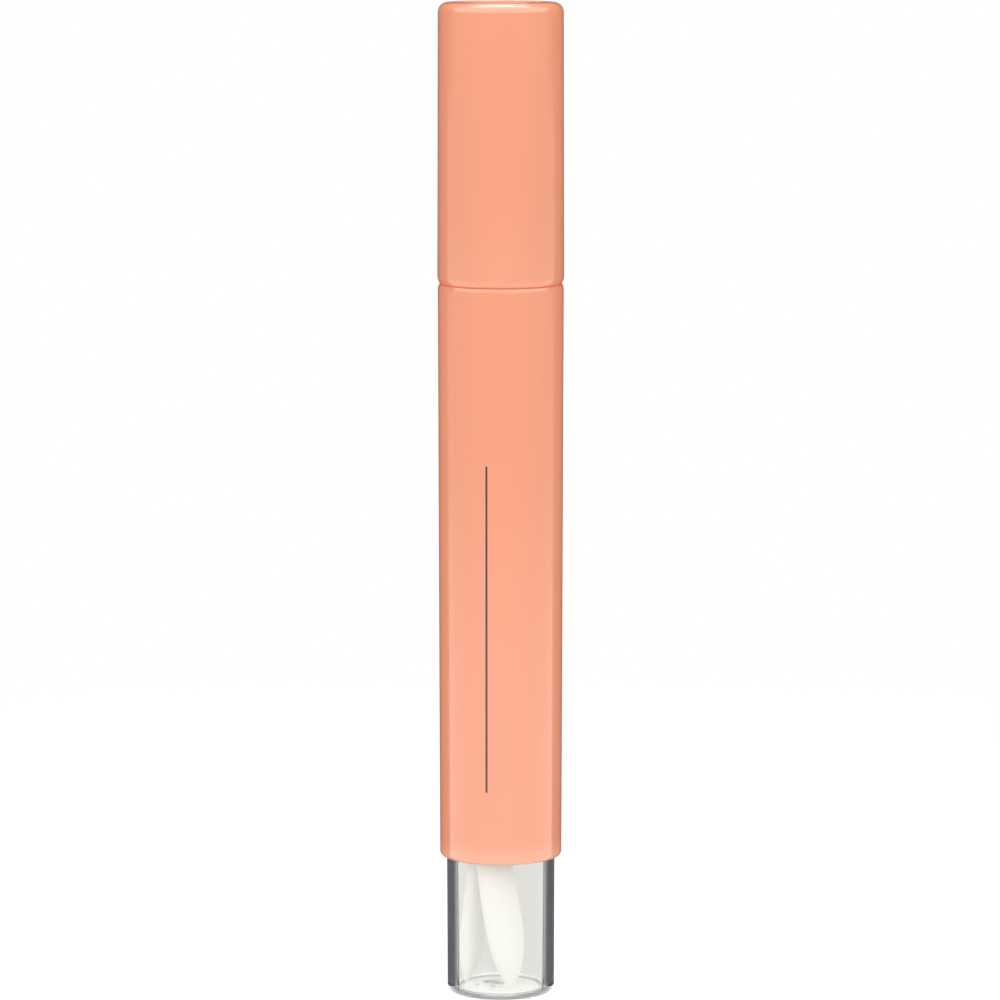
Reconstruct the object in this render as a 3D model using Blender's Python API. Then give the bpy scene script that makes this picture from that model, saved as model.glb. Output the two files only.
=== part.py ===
"""A felt-tip nail care pen that stands on its clear tail cap.

The orange barrel holds a fibre reservoir, a holder in its neck carries the working nib under the
orange cap, and the clear tail cap stores two spare nibs. Metres, +Z up, origin at the base's centre.
"""

import bmesh
import bpy
from math import cos, pi, radians, sin, sqrt
from mathutils import Matrix, Vector

# Clearances: faces that seat on each other, round pieces that slide, and the overrun of cutters
SEAT_GAP = 0.0003
SLIDE_GAP = 0.0002
CUT_OVERRUN = 0.001

# Fineness of the round shapes, and the angle in degrees over which an edge looks sharp
ROUND_STEPS = 48
OVAL_STEPS = 24
FILLET_STEPS = 4
WELD_DISTANCE = 0.000001
SHARP_ANGLE = 35

# Felt nib: one working, two spare
NIB_LENGTH = 0.0300
NIB_WIDTH = 0.00505
NIB_THICKNESS = 0.0030
NIB_HEAD_share = 0.20

# Tail cap: a clear cup with a thinner spigot that plugs into the barrel
STORE_ROOM = 0.00521
STORE_DRAFT = 0.00007
TAIL_LENGTH = 0.0177
TAIL_WALL = 0.00127
TAIL_FLOOR = 0.0008
TAIL_ROUNDING = 0.0009
TAIL_INNER_ROUNDING = 0.0004
GATE_RECESS_RADIUS = 0.0015
GATE_RECESS_DEPTH = 0.00025
GATE_RADIUS = 0.00045
GATE_HEIGHT = 0.00015
SPIGOT_WALL = 0.00072
SPIGOT_SETBACK = 0.0012
SPIGOT_LEAD_IN = 0.0003
BEAD_RISE = 0.00012
BEAD_WIDTH = 0.0012
BEAD_HEIGHT = 0.0050

# Spare nibs: free height over them, and their distance from the wall
NIB_PLAY = 0.0020
NIB_WALL_GAP = 0.0003

# Barrel: a tapered tube with a stepped bore and a neck for the cap
BARREL_LENGTH = 0.0732
BARREL_TAPER = 0.0002
LIP_WALL = 0.000675
LIP_DEPTH = 0.0012
LIP_FLAT = 0.00008
LIP_ROUNDING = 0.0008
SHOULDER_ROUNDING = 0.0004
SHOULDER_WALL = 0.0015
RESERVOIR_STEP = 0.0003
NECK_LENGTH = 0.0070
NECK_WALL = 0.00125
NECK_CHAMFER = 0.0003
NECK_RING_RISE = 0.00012
NECK_RING_WIDTH = 0.0014
NECK_RING_HEIGHT = 0.0022

# Rear plug that closes the reservoir chamber
PLUG_FLANGE_DEPTH = 0.0010
PLUG_COLLAR_DEPTH = 0.0030
PLUG_COLLAR_WALL = 0.0010

# Reservoir: a fibre rod in a film sleeve
SLEEVE_WALL = 0.0002
SLEEVE_SETBACK = 0.0006
NIB_PLUNGE = 0.0030

# Holder: a plug in the neck, a flange on it, a collar that the liner seals, and a nose
FLANGE_DEPTH = 0.0010
FLANGE_SETBACK = 0.0003
COLLAR_LENGTH = 0.0032
COLLAR_STEP = 0.0011
NOSE_LENGTH = 0.0041
NOSE_WALL = 0.000775
NOSE_ROUNDING = 0.0004
VENT_WIDTH = 0.0012
VENT_DEPTH = 0.0005

# Cap: an outer shell with a shallow dish in its top, and a sealing liner
CAP_OVERHANG = 0.00005
CAP_TAPER = 0.0001
CAP_WALL = 0.00115
CAP_ROOF = 0.0013
CAP_HEADROOM = 0.0077
CAP_TOP_ROUNDING = 0.0010
CAP_DISH_SETBACK = 0.0021
CAP_DISH_DEPTH = 0.00045
CAP_MOUTH_ROUNDING = 0.0006
CAP_LEAD_IN = 0.0003
LINER_WALL = 0.0008
LINER_ROOF = 0.0009
LINER_FLANGE_DEPTH = 0.0010
LINER_ROUNDING = 0.0006
LINER_RIB_COUNT = 6
LINER_RIB_SETBACK = 0.0006

# Outline of the nib as shares of its length, width and thickness, with its sideways shift
NIB_OUTLINE_shares = (
    (0.004, 0.10, 0.12, -0.080),
    (0.015, 0.20, 0.21, -0.074),
    (0.037, 0.337, 0.36, -0.060),
    (0.070, 0.513, 0.60, -0.042),
    (0.097, 0.644, 0.77, -0.028),
    (0.130, 0.757, 0.91, -0.016),
    (0.170, 0.863, 0.99, -0.006),
    (0.210, 0.938, 1.00, 0.0),
    (0.270, 0.977, 1.00, 0.0),
    (0.360, 1.0, 0.97, 0.0),
    (0.450, 0.974, 0.93, 0.0),
    (0.550, 0.923, 0.87, 0.0),
    (0.700, 0.842, 0.80, 0.0),
    (0.850, 0.782, 0.76, 0.0),
    (0.988, 0.745, 0.74, 0.0),
    (1.0, 0.68, 0.66, 0.0),
)

# Each spare nib: bearing of its head, of its tail end and of its wide face, in degrees
SPARE_NIBS = (
    ("spare_nib_1", 178, 124, 73),
    ("spare_nib_2", -78.5, 203.5, 26),
)

# How far out each spare nib's head and tail end are, as shares of the room that they have
SPARE_NIB_PLACE_shares = ((0.987, 0.75), (0.978, 0.842))

# Radii, from the stored nibs outwards
store_top = (2 * NIB_THICKNESS + STORE_ROOM) / 2
store_floor = store_top - STORE_DRAFT
tail_top = store_top + TAIL_WALL
tail_base = store_floor + TAIL_WALL
spigot = store_top + SPIGOT_WALL
bead = spigot + BEAD_RISE
lip_bore = tail_top + SLIDE_GAP
barrel_rear = lip_bore + LIP_WALL
barrel_front = barrel_rear + BARREL_TAPER
rear_bore = bead + SLIDE_GAP
reservoir_bore = rear_bore - RESERVOIR_STEP
cap_mouth = barrel_front + CAP_OVERHANG
cap_top = cap_mouth - CAP_TAPER
cap_dish = cap_top - CAP_DISH_SETBACK
cap_bore_mouth = cap_mouth - CAP_WALL
cap_bore_top = cap_top - CAP_WALL
neck_ring = cap_bore_mouth - SLIDE_GAP
neck = neck_ring - NECK_RING_RISE
neck_bore = neck - NECK_WALL
slot_half_width = NIB_WIDTH / 2 + SLIDE_GAP
slot_half_depth = NIB_THICKNESS / 2 + SLIDE_GAP
nose = slot_half_width + NOSE_WALL
collar = nose + COLLAR_STEP
liner_bore = collar + SLIDE_GAP
liner_outside = liner_bore + LINER_WALL
liner_flange = cap_bore_top - SLIDE_GAP

# Heights above the base, for the tail cap and what it stores
nib_rest = TAIL_FLOOR + SEAT_GAP
plug_underside = nib_rest + NIB_LENGTH + NIB_PLAY
spigot_top = plug_underside - SPIGOT_SETBACK

# Heights above the barrel's rear face
plug_low = plug_underside - TAIL_LENGTH
bore_step = plug_low + PLUG_FLANGE_DEPTH + SEAT_GAP
plug_high = bore_step - SEAT_GAP + PLUG_COLLAR_DEPTH
reservoir_low = plug_high + SEAT_GAP
chamber_top = BARREL_LENGTH - SHOULDER_WALL
reservoir_high = chamber_top - SEAT_GAP
neck_top = BARREL_LENGTH + NECK_LENGTH
flange_low = neck_top + SEAT_GAP
flange_high = flange_low + FLANGE_DEPTH
collar_high = flange_high + COLLAR_LENGTH
nose_high = collar_high + NOSE_LENGTH
nib_tip = reservoir_high - NIB_PLUNGE + NIB_LENGTH

# Heights above the cap's mouth
mouth_height = BARREL_LENGTH + SEAT_GAP
liner_low = flange_high + SEAT_GAP - mouth_height
liner_ceiling = nib_tip - mouth_height + CAP_HEADROOM
liner_high = liner_ceiling + LINER_ROOF
cap_ceiling = liner_high + SEAT_GAP
cap_length = cap_ceiling + CAP_ROOF

# Finishes: linear red, green and blue, roughness and opacity
ORANGE_PLASTIC = ((0.939, 0.392, 0.227), 0.35, 1.0)
WHITE_PLASTIC = ((0.85, 0.84, 0.80), 0.5, 1.0)
CLEAR_PLASTIC = ((0.88, 0.89, 0.91), 0.05, 0.35)
FELT = ((0.93, 0.93, 0.88), 0.9, 1.0)
FIBRE = ((0.90, 0.85, 0.72), 0.95, 1.0)
FILM = ((0.80, 0.82, 0.84), 0.3, 1.0)


def clear_scene():
    for item in list(bpy.data.objects):
        bpy.data.objects.remove(item, do_unlink=True)


def paint(piece, name, finish):
    """Gives a piece its own material with one of the finishes."""
    colour, roughness, opacity = finish
    material = bpy.data.materials.new(name)
    material.use_nodes = True
    shader = material.node_tree.nodes["Principled BSDF"]
    shader.inputs["Base Color"].default_value = (*colour, 1.0)
    shader.inputs["Roughness"].default_value = roughness
    shader.inputs["Metallic"].default_value = 0.0
    shader.inputs["Alpha"].default_value = opacity
    material.diffuse_color = (*colour, opacity)
    piece.data.materials.append(material)


def assembly(name, height):
    """An empty on the pen's axis that carries the pieces which move together."""
    holder = bpy.data.objects.new(name, None)
    holder.location = (0, 0, height)
    bpy.context.collection.objects.link(holder)
    return holder


def place(name, form, parent, height=0):
    """Turns a bmesh into a smooth object at a height over its parent."""
    mesh = bpy.data.meshes.new(name)
    form.to_mesh(mesh)
    form.free()
    mesh.shade_smooth()
    mesh.set_sharp_from_angle(angle=radians(SHARP_ANGLE))
    piece = bpy.data.objects.new(name, mesh)
    piece.location = (0, 0, height)
    piece.parent = parent
    bpy.context.collection.objects.link(piece)
    return piece


def arc(centre, height, reach, rise, start, end):
    """Points of a rounded corner about a centre, from one angle to another in degrees."""
    points = []
    for step in range(FILLET_STEPS + 1):
        angle = radians(start + (end - start) * step / FILLET_STEPS)
        points.append((centre + reach * cos(angle), height + rise * sin(angle)))
    return points


def ring_rise(radius, rise, low, width):
    """A low round ring on an outer wall, from its top to its foot."""
    return [
        (radius, low + width),
        (radius + rise, low + width * 2 / 3),
        (radius + rise, low + width / 3),
        (radius, low),
    ]


def spun(outline):
    """Spins an outline of radius and height about the axis; one that starts off the axis is a ring."""
    form = bmesh.new()
    points = [form.verts.new((radius, 0, height)) for radius, height in outline]
    edges = [form.edges.new(pair) for pair in zip(points, points[1:])]
    if outline[0][0] > 0:
        edges.append(form.edges.new((points[-1], points[0])))
    profile = points + edges
    turn = {"axis": (0, 0, 1), "cent": (0, 0, 0), "angle": 2 * pi, "steps": ROUND_STEPS}
    bmesh.ops.spin(form, geom=profile, use_merge=True, **turn)
    bmesh.ops.remove_doubles(form, verts=form.verts, dist=WELD_DISTANCE)
    bmesh.ops.recalc_face_normals(form, faces=form.faces)
    return form


def extruded(form, face, rise):
    """Extrudes one face of a bmesh straight up, which closes the form."""
    grown = bmesh.ops.extrude_face_region(form, geom=[face])
    tops = [item for item in grown["geom"] if isinstance(item, bmesh.types.BMVert)]
    bmesh.ops.translate(form, verts=tops, vec=(0, 0, rise))
    bmesh.ops.recalc_face_normals(form, faces=form.faces)


def cutter(name, form, parent, height):
    tool = place(name, form, parent, height)
    tool.hide_render = True
    tool.display_type = "WIRE"
    return tool


def oval_cutter(name, half_width, half_depth, length, parent, height):
    form = bmesh.new()
    bmesh.ops.create_circle(form, cap_ends=True, segments=OVAL_STEPS, radius=1)
    bmesh.ops.scale(form, verts=form.verts, vec=(half_width, half_depth, 1))
    extruded(form, form.faces[:][0], length)
    return cutter(name, form, parent, height)


def block_cutter(name, width, depth, length, side, parent, height):
    """A block whose inner face is at a distance from the axis, for a groove along an outer wall."""
    form = bmesh.new()
    bmesh.ops.create_cube(form, size=1)
    bmesh.ops.scale(form, verts=form.verts, vec=(width, depth, length))
    bmesh.ops.translate(form, verts=form.verts, vec=(0, side + depth / 2, length / 2))
    return cutter(name, form, parent, height)


def cut(piece, tool):
    modifier = piece.modifiers.new(tool.name, "BOOLEAN")
    modifier.operation = "DIFFERENCE"
    modifier.solver = "EXACT"
    modifier.object = tool


def nib_share(along, column):
    """The nib's width or thickness share at a share of its length, read between its stations."""
    for low, high in zip(NIB_OUTLINE_shares, NIB_OUTLINE_shares[1:]):
        if low[0] <= along <= high[0]:
            mix = (along - low[0]) / (high[0] - low[0])
            return low[column] + (high[column] - low[column]) * mix
    return NIB_OUTLINE_shares[-1][column]


def nib_form():
    """The felt nib with its tip at the origin: oval rings extruded one from the next up to its tail."""
    form = bmesh.new()
    along, wide, thick, shift = NIB_OUTLINE_shares[0]
    bmesh.ops.create_circle(form, cap_ends=False, segments=OVAL_STEPS, radius=1)
    ring = form.verts[:]
    edges = form.edges[:]
    start = Vector((shift * NIB_WIDTH, 0, along * NIB_LENGTH))
    size = Vector((wide * NIB_WIDTH / 2, thick * NIB_THICKNESS / 2, 1))
    bmesh.ops.scale(form, verts=ring, vec=size)
    bmesh.ops.translate(form, verts=ring, vec=start)
    tip = form.verts.new((shift * NIB_WIDTH, 0, 0))
    for edge in edges:
        form.faces.new((*edge.verts, tip))
    for station in NIB_OUTLINE_shares[1:]:
        ring, edges, start, size = next_ring(form, edges, start, size, station)
    form.faces.new(ring)
    bmesh.ops.recalc_face_normals(form, faces=form.faces)
    return form


def next_ring(form, edges, start, size, station):
    """Extrudes a ring of the nib and brings it to the size and place of the next station."""
    along, wide, thick, shift = station
    grown = bmesh.ops.extrude_edge_only(form, edges=edges)["geom"]
    ring = [item for item in grown if isinstance(item, bmesh.types.BMVert)]
    new_edges = [item for item in grown if isinstance(item, bmesh.types.BMEdge)]
    end = Vector((shift * NIB_WIDTH, 0, along * NIB_LENGTH))
    new_size = Vector((wide * NIB_WIDTH / 2, thick * NIB_THICKNESS / 2, 1))
    bmesh.ops.translate(form, verts=ring, vec=-start)
    bmesh.ops.scale(form, verts=ring, vec=(new_size.x / size.x, new_size.y / size.y, 1))
    bmesh.ops.translate(form, verts=ring, vec=end)
    ordered = sorted(ring, key=lambda vert: (vert.co - end).xy.angle_signed(Vector((1, 0)), 0))
    return ordered, new_edges, end, new_size


def make_tail_cap(parent):
    outline = [(store_top, spigot_top), (spigot - SPIGOT_LEAD_IN, spigot_top)]
    outline += [(spigot, spigot_top - SPIGOT_LEAD_IN)]
    shoulder = TAIL_LENGTH + LIP_DEPTH - SEAT_GAP
    outline += ring_rise(spigot, BEAD_RISE, shoulder + BEAD_HEIGHT, BEAD_WIDTH)
    outline += [(spigot, shoulder), (tail_top, shoulder), (tail_top, TAIL_LENGTH)]
    outline += arc(tail_base - TAIL_ROUNDING, TAIL_ROUNDING, TAIL_ROUNDING, TAIL_ROUNDING, 0, -90)
    outline += [(GATE_RECESS_RADIUS, 0), (GATE_RECESS_RADIUS, GATE_RECESS_DEPTH)]
    outline += [(GATE_RADIUS, GATE_RECESS_DEPTH), (GATE_RADIUS, GATE_RECESS_DEPTH - GATE_HEIGHT)]
    outline += [(0, GATE_RECESS_DEPTH - GATE_HEIGHT)]
    inside = [(store_top, TAIL_LENGTH)]
    inside += arc(
        store_floor - TAIL_INNER_ROUNDING,
        TAIL_FLOOR + TAIL_INNER_ROUNDING,
        TAIL_INNER_ROUNDING,
        TAIL_INNER_ROUNDING,
        0,
        -90,
    )
    inside += [(0, TAIL_FLOOR)]
    form = spun([*reversed(inside), *outline])
    piece = place("tail_cap", form, parent)
    paint(piece, "tail_cap_clear", CLEAR_PLASTIC)


def spare_nib_pose(head_bearing, tail_bearing, face_bearing, head_share, tail_share):
    """The tip's place and the turn of a spare nib that leans on the wall of its store."""
    reach = store_floor - NIB_THICKNESS / 2 - NIB_WALL_GAP
    head = head_share * reach * Vector((cos(radians(head_bearing)), sin(radians(head_bearing))))
    tail = tail_share * reach * Vector((cos(radians(tail_bearing)), sin(radians(tail_bearing))))
    span = (1 - NIB_HEAD_share) * NIB_LENGTH
    lean = (tail - head) / span
    axis = Vector((lean.x, lean.y, sqrt(1 - lean.length_squared)))
    face = Vector((cos(radians(face_bearing)), sin(radians(face_bearing)), 0))
    side = axis.cross(face).normalized()
    turn = Matrix((side.cross(axis), side, axis)).transposed()
    tip = head - lean * NIB_HEAD_share * NIB_LENGTH
    return Vector((tip.x, tip.y, nib_rest)), turn.to_euler()


def make_spare_nibs(parent):
    for (name, *bearings), places in zip(SPARE_NIBS, SPARE_NIB_PLACE_shares):
        piece = place(name, nib_form(), parent)
        spot, turn = spare_nib_pose(*bearings, *places)
        piece.location = spot
        piece.rotation_euler = turn
        paint(piece, name + "_felt", FELT)


def make_barrel(parent):
    outline = [(neck_bore, neck_top), (neck - NECK_CHAMFER, neck_top), (neck, neck_top - NECK_CHAMFER)]
    outline += ring_rise(neck, NECK_RING_RISE, BARREL_LENGTH + NECK_RING_HEIGHT, NECK_RING_WIDTH)
    outline += [(neck, BARREL_LENGTH)]
    shoulder = barrel_front - SHOULDER_ROUNDING
    outline += arc(shoulder, BARREL_LENGTH - SHOULDER_ROUNDING, SHOULDER_ROUNDING, SHOULDER_ROUNDING, 90, 0)
    lip_reach = LIP_WALL - LIP_FLAT
    outline += arc(barrel_rear - lip_reach, LIP_ROUNDING, lip_reach, LIP_ROUNDING, 0, -90)
    outline += [(lip_bore, 0), (lip_bore, LIP_DEPTH), (rear_bore, LIP_DEPTH), (rear_bore, bore_step)]
    outline += [(reservoir_bore, bore_step), (reservoir_bore, chamber_top), (neck_bore, chamber_top)]
    piece = place("barrel", spun(outline), parent)
    paint(piece, "barrel_orange", ORANGE_PLASTIC)


def make_rear_plug(parent):
    flange = rear_bore - SLIDE_GAP
    collar_outside = reservoir_bore - SLIDE_GAP
    collar_inside = collar_outside - PLUG_COLLAR_WALL
    flange_top = plug_low + PLUG_FLANGE_DEPTH
    outline = [(0, flange_top), (collar_inside, flange_top), (collar_inside, plug_high)]
    outline += [(collar_outside, plug_high), (collar_outside, flange_top), (flange, flange_top)]
    outline += [(flange, plug_low), (0, plug_low)]
    piece = place("rear_plug", spun(outline), parent)
    paint(piece, "plug_white", WHITE_PLASTIC)


def make_reservoir(parent):
    sleeve_outside = reservoir_bore - SLIDE_GAP
    sleeve_inside = sleeve_outside - SLEEVE_WALL
    core_outside = sleeve_inside - SLIDE_GAP
    sleeve_low = reservoir_low + SLEEVE_SETBACK
    sleeve_high = reservoir_high - SLEEVE_SETBACK
    outline = [(sleeve_inside, sleeve_high), (sleeve_outside, sleeve_high)]
    outline += [(sleeve_outside, sleeve_low), (sleeve_inside, sleeve_low)]
    sleeve = place("reservoir_sleeve", spun(outline), parent)
    paint(sleeve, "sleeve_film", FILM)
    outline = [(0, reservoir_high), (core_outside, reservoir_high)]
    outline += [(core_outside, reservoir_low), (0, reservoir_low)]
    core = place("reservoir_core", spun(outline), parent)
    paint(core, "core_fibre", FIBRE)
    entry = 1 - NIB_PLUNGE / NIB_LENGTH
    half_width = NIB_WIDTH / 2 * nib_share(entry, 1) + SLIDE_GAP
    half_depth = NIB_THICKNESS / 2 * nib_share(entry, 2) + SLIDE_GAP
    low = reservoir_high - NIB_PLUNGE - SEAT_GAP
    length = NIB_PLUNGE + SEAT_GAP + CUT_OVERRUN
    cut(core, oval_cutter("core_pocket", half_width, half_depth, length, parent, low))


def make_nib_holder(parent):
    plug = neck_bore - SLIDE_GAP
    flange = neck - FLANGE_SETBACK
    outline = [(0, nose_high)]
    outline += arc(nose - NOSE_ROUNDING, nose_high - NOSE_ROUNDING, NOSE_ROUNDING, NOSE_ROUNDING, 90, 0)
    outline += [(collar, collar_high), (collar, flange_high), (flange, flange_high), (flange, flange_low)]
    outline += [(plug, flange_low), (plug, chamber_top), (0, chamber_top)]
    piece = place("nib_holder", spun(outline), parent)
    paint(piece, "holder_white", WHITE_PLASTIC)
    low = chamber_top - CUT_OVERRUN
    length = nose_high + CUT_OVERRUN - low
    cut(piece, oval_cutter("holder_slot", slot_half_width, slot_half_depth, length, parent, low))
    length = flange_low - low
    depth = VENT_DEPTH + CUT_OVERRUN
    inner_face = plug - VENT_DEPTH
    for side in (-1, 1):
        tool = block_cutter("holder_vent", VENT_WIDTH, depth, length, inner_face, parent, low)
        tool.rotation_euler = (0, 0, side * pi / 2)
        cut(piece, tool)


def make_working_nib(parent):
    piece = place("working_nib", nib_form(), parent, nib_tip)
    piece.rotation_euler = (pi, 0, 0)
    paint(piece, "working_nib_felt", FELT)


def make_cap_shell(parent):
    dish_floor = cap_length - CAP_DISH_DEPTH
    outline = [(0, dish_floor), (cap_dish, dish_floor), (cap_dish, cap_length)]
    top_height = cap_length - CAP_TOP_ROUNDING
    outline += arc(cap_top - CAP_TOP_ROUNDING, top_height, CAP_TOP_ROUNDING, CAP_TOP_ROUNDING, 90, 0)
    mouth = cap_mouth - CAP_MOUTH_ROUNDING
    outline += arc(mouth, CAP_MOUTH_ROUNDING, CAP_MOUTH_ROUNDING, CAP_MOUTH_ROUNDING, 0, -90)
    outline += [(cap_bore_mouth + CAP_LEAD_IN, 0), (cap_bore_mouth, CAP_LEAD_IN)]
    outline += [(cap_bore_top, cap_ceiling), (0, cap_ceiling)]
    piece = place("cap_shell", spun(outline), parent)
    paint(piece, "cap_orange", ORANGE_PLASTIC)


def raise_ribs(form, count, radius, low, high, rise):
    """Extrudes every so many wall faces outwards, between two heights, to make ribs."""
    walls = []
    for face in form.faces:
        middle = face.calc_center_median()
        if low < middle.z < high and middle.xy.length > radius and face.normal.dot(middle) > 0:
            walls.append(face)
    walls.sort(key=lambda face: face.calc_center_median().xy.angle_signed(Vector((1, 0)), 0))
    chosen = walls[:: len(walls) // count]
    for face in bmesh.ops.extrude_discrete_faces(form, faces=chosen)["faces"]:
        bmesh.ops.translate(form, verts=face.verts, vec=face.normal * rise)


def make_cap_liner(parent):
    flange_high_edge = liner_low + LINER_FLANGE_DEPTH
    round_height = liner_high - LINER_ROUNDING
    outline = [(0, liner_high)]
    outline += arc(liner_outside - LINER_ROUNDING, round_height, LINER_ROUNDING, LINER_ROUNDING, 90, 0)
    rib_low = flange_high_edge + LINER_RIB_SETBACK
    outline += [(liner_outside, rib_low), (liner_outside, flange_high_edge)]
    outline += [(liner_flange, flange_high_edge), (liner_flange, liner_low)]
    outline += [(liner_bore, liner_low), (liner_bore, liner_ceiling), (0, liner_ceiling)]
    form = spun(outline)
    wall_middle = (liner_bore + liner_outside) / 2
    rib_rise = liner_flange - liner_outside
    raise_ribs(form, LINER_RIB_COUNT, wall_middle, rib_low, round_height, rib_rise)
    piece = place("cap_liner", form, parent)
    paint(piece, "liner_white", WHITE_PLASTIC)


clear_scene()
tail = assembly("tail_axis", 0)
body = assembly("barrel_axis", TAIL_LENGTH)
cap = assembly("cap_axis", TAIL_LENGTH + mouth_height)
make_tail_cap(tail)
make_spare_nibs(tail)
make_barrel(body)
make_rear_plug(body)
make_reservoir(body)
make_nib_holder(body)
make_working_nib(body)
make_cap_shell(cap)
make_cap_liner(cap)
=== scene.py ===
"""Looks of a felt-tip nail care pen that stands on its clear tail cap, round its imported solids."""

from math import cos, radians, sin, sqrt

import bmesh
import bpy
from mathutils import Matrix, Vector


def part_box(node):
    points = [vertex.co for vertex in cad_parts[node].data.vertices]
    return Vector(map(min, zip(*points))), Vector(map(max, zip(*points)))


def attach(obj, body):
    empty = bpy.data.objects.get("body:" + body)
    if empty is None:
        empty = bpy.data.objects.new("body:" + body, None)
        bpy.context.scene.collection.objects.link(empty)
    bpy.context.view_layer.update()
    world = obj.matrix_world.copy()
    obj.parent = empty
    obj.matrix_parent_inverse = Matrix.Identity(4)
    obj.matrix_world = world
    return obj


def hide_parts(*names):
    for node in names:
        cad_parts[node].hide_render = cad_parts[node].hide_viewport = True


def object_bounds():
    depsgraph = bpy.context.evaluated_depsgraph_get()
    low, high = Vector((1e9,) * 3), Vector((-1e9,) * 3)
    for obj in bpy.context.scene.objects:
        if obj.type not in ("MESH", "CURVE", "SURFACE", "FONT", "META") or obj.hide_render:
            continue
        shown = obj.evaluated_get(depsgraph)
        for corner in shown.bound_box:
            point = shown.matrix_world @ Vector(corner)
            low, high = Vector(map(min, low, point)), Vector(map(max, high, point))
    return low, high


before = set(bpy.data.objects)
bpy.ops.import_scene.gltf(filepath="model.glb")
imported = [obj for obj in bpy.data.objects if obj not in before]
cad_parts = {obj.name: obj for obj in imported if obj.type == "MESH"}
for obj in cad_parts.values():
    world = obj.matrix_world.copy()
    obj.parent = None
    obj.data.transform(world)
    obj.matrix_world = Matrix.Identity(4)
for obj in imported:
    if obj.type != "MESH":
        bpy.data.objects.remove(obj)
cad_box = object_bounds()


# Camera: a long lens a little over the cap's height, tilted down at the pen, so that the pen fills
# the height of the picture. It looks at the side with the printed line.
CAMERA_SIDE = -0.0001
CAMERA_DISTANCE = 0.6541
CAMERA_HEIGHT = 0.1480
CAMERA_TILT = 7.37
CAMERA_LENS = 187.2
CAMERA_SENSOR = 36

bpy.ops.object.select_all(action="DESELECT")
bpy.ops.object.camera_add(
    location=(CAMERA_SIDE, -CAMERA_DISTANCE, CAMERA_HEIGHT),
    rotation=(radians(90 - CAMERA_TILT), 0, 0),
)
camera = bpy.context.object
camera.data.sensor_width = CAMERA_SENSOR
camera.data.lens = CAMERA_LENS
bpy.context.scene.camera = camera
bpy.context.scene.view_settings.view_transform = "Standard"


# Studio: a white room with soft boxes overhead and in front, and a floor that is pale round the pen and
# plain white further out. Gloss sees a bright ceiling, a dim wall behind the pen and a painted pool of
# light that the floor glows with, but no lamp. Gloss and the view through clear plastic also see a
# painted glow on the floor just under the tail cap. Through clear plastic the room looks a little greyer.
ROOM_LIGHT = 0.66
LOW_SKY = 0.06
BEHIND = 0.30
BEHIND_SHADE = 0.30
CEILING_LIGHT = 3.2
CEILING_NEAR = 0.12
CEILING_FAR = 0.32
PLASTIC_SHADE = 0.31
WHITE = (1, 1, 1, 1)
FLOOR_SIZE = 6
FLOOR_DROP = 0.00002
FLOOR_COLOUR = (0.80, 0.80, 0.80, 1)
FLOOR_LIFT = 0.34
FLOOR_NEAR = 0.10
FLOOR_FAR = 0.25
POOL_NEAR = 0.05
POOL_FAR = 0.75
POOL_PAINTED_GLOW = 1.7
UNDER_NEAR = 0.0068
UNDER_FAR = 0.0110
UNDER_PAINTED_GLOW = 0.34
OVERHEAD_HEIGHT = 0.72
OVERHEAD_SIZE = 0.34
OVERHEAD_POWER = 1.5
FRONT_DISTANCE = 1.3
FRONT_HEIGHT = 0.5
FRONT_BEARINGS = (-47, 47)
FRONT_SIZE = 0.9
FRONT_POWER = 3.9


def emptied(owner):
    """Turns on the nodes of a material or world, and returns its tree with nothing in it."""
    owner.use_nodes = True
    owner.node_tree.nodes.clear()
    return owner.node_tree


def put(tree, kind, inputs=None, **settings):
    """Adds a node, sets its options, and gives its inputs values or links, by name or number."""
    made = tree.nodes.new(kind)
    for option, value in settings.items():
        setattr(made, option, value)
    for place, value in (inputs or {}).items():
        if isinstance(value, bpy.types.NodeSocket):
            tree.links.new(value, made.inputs[place])
        else:
            made.inputs[place].default_value = value
    return made


def maths(tree, operation, first, second=0.0):
    """Adds a Math node and returns its output."""
    return put(tree, "ShaderNodeMath", {0: first, 1: second}, operation=operation).outputs[0]


def times(tree, product, *others):
    """Multiplies values with each other."""
    for other in others:
        product = maths(tree, "MULTIPLY", product, other)
    return product


def rest_of(tree, share):
    """What a share leaves of 1."""
    return maths(tree, "SUBTRACT", 1.0, share)


def vector_maths(tree, operation, first, second=(0, 0, 0)):
    """Adds a Vector Math node and returns the output that its operation gives."""
    made = put(tree, "ShaderNodeVectorMath", {0: first, 1: second}, operation=operation)
    return made.outputs["Value" if operation == "LENGTH" else "Vector"]


def object_place(tree):
    """The shaded point's place on its own piece."""
    return put(tree, "ShaderNodeTexCoord").outputs["Object"]


def fades(tree, distance, near, far):
    """Goes smoothly from 0 at one distance to 1 at another."""
    ends = {"Value": distance, "From Min": near, "From Max": far}
    return put(tree, "ShaderNodeMapRange", ends, interpolation_type="SMOOTHSTEP").outputs[0]


def glowing(tree, colour, strength):
    """Adds an Emission shader."""
    return put(tree, "ShaderNodeEmission", {"Color": colour, "Strength": strength})


def either(tree, share, first, second):
    """Mixes two shaders."""
    ends = {0: share, 1: first.outputs[0], 2: second.outputs[0]}
    return put(tree, "ShaderNodeMixShader", ends)


def surfaced(tree, shader):
    """Ends a material with its surface."""
    put(tree, "ShaderNodeOutputMaterial", {"Surface": shader.outputs[0]})


def seen_directly(tree):
    """1 for rays of the camera and gloss, less through clear plastic, and 0 for rays of light."""
    path = put(tree, "ShaderNodeLightPath")
    shade = times(tree, path.outputs["Is Transmission Ray"], PLASTIC_SHADE)
    seen = maths(tree, "MAXIMUM", path.outputs["Is Camera Ray"], path.outputs["Is Glossy Ray"])
    return maths(tree, "SUBTRACT", seen, shade)


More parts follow.
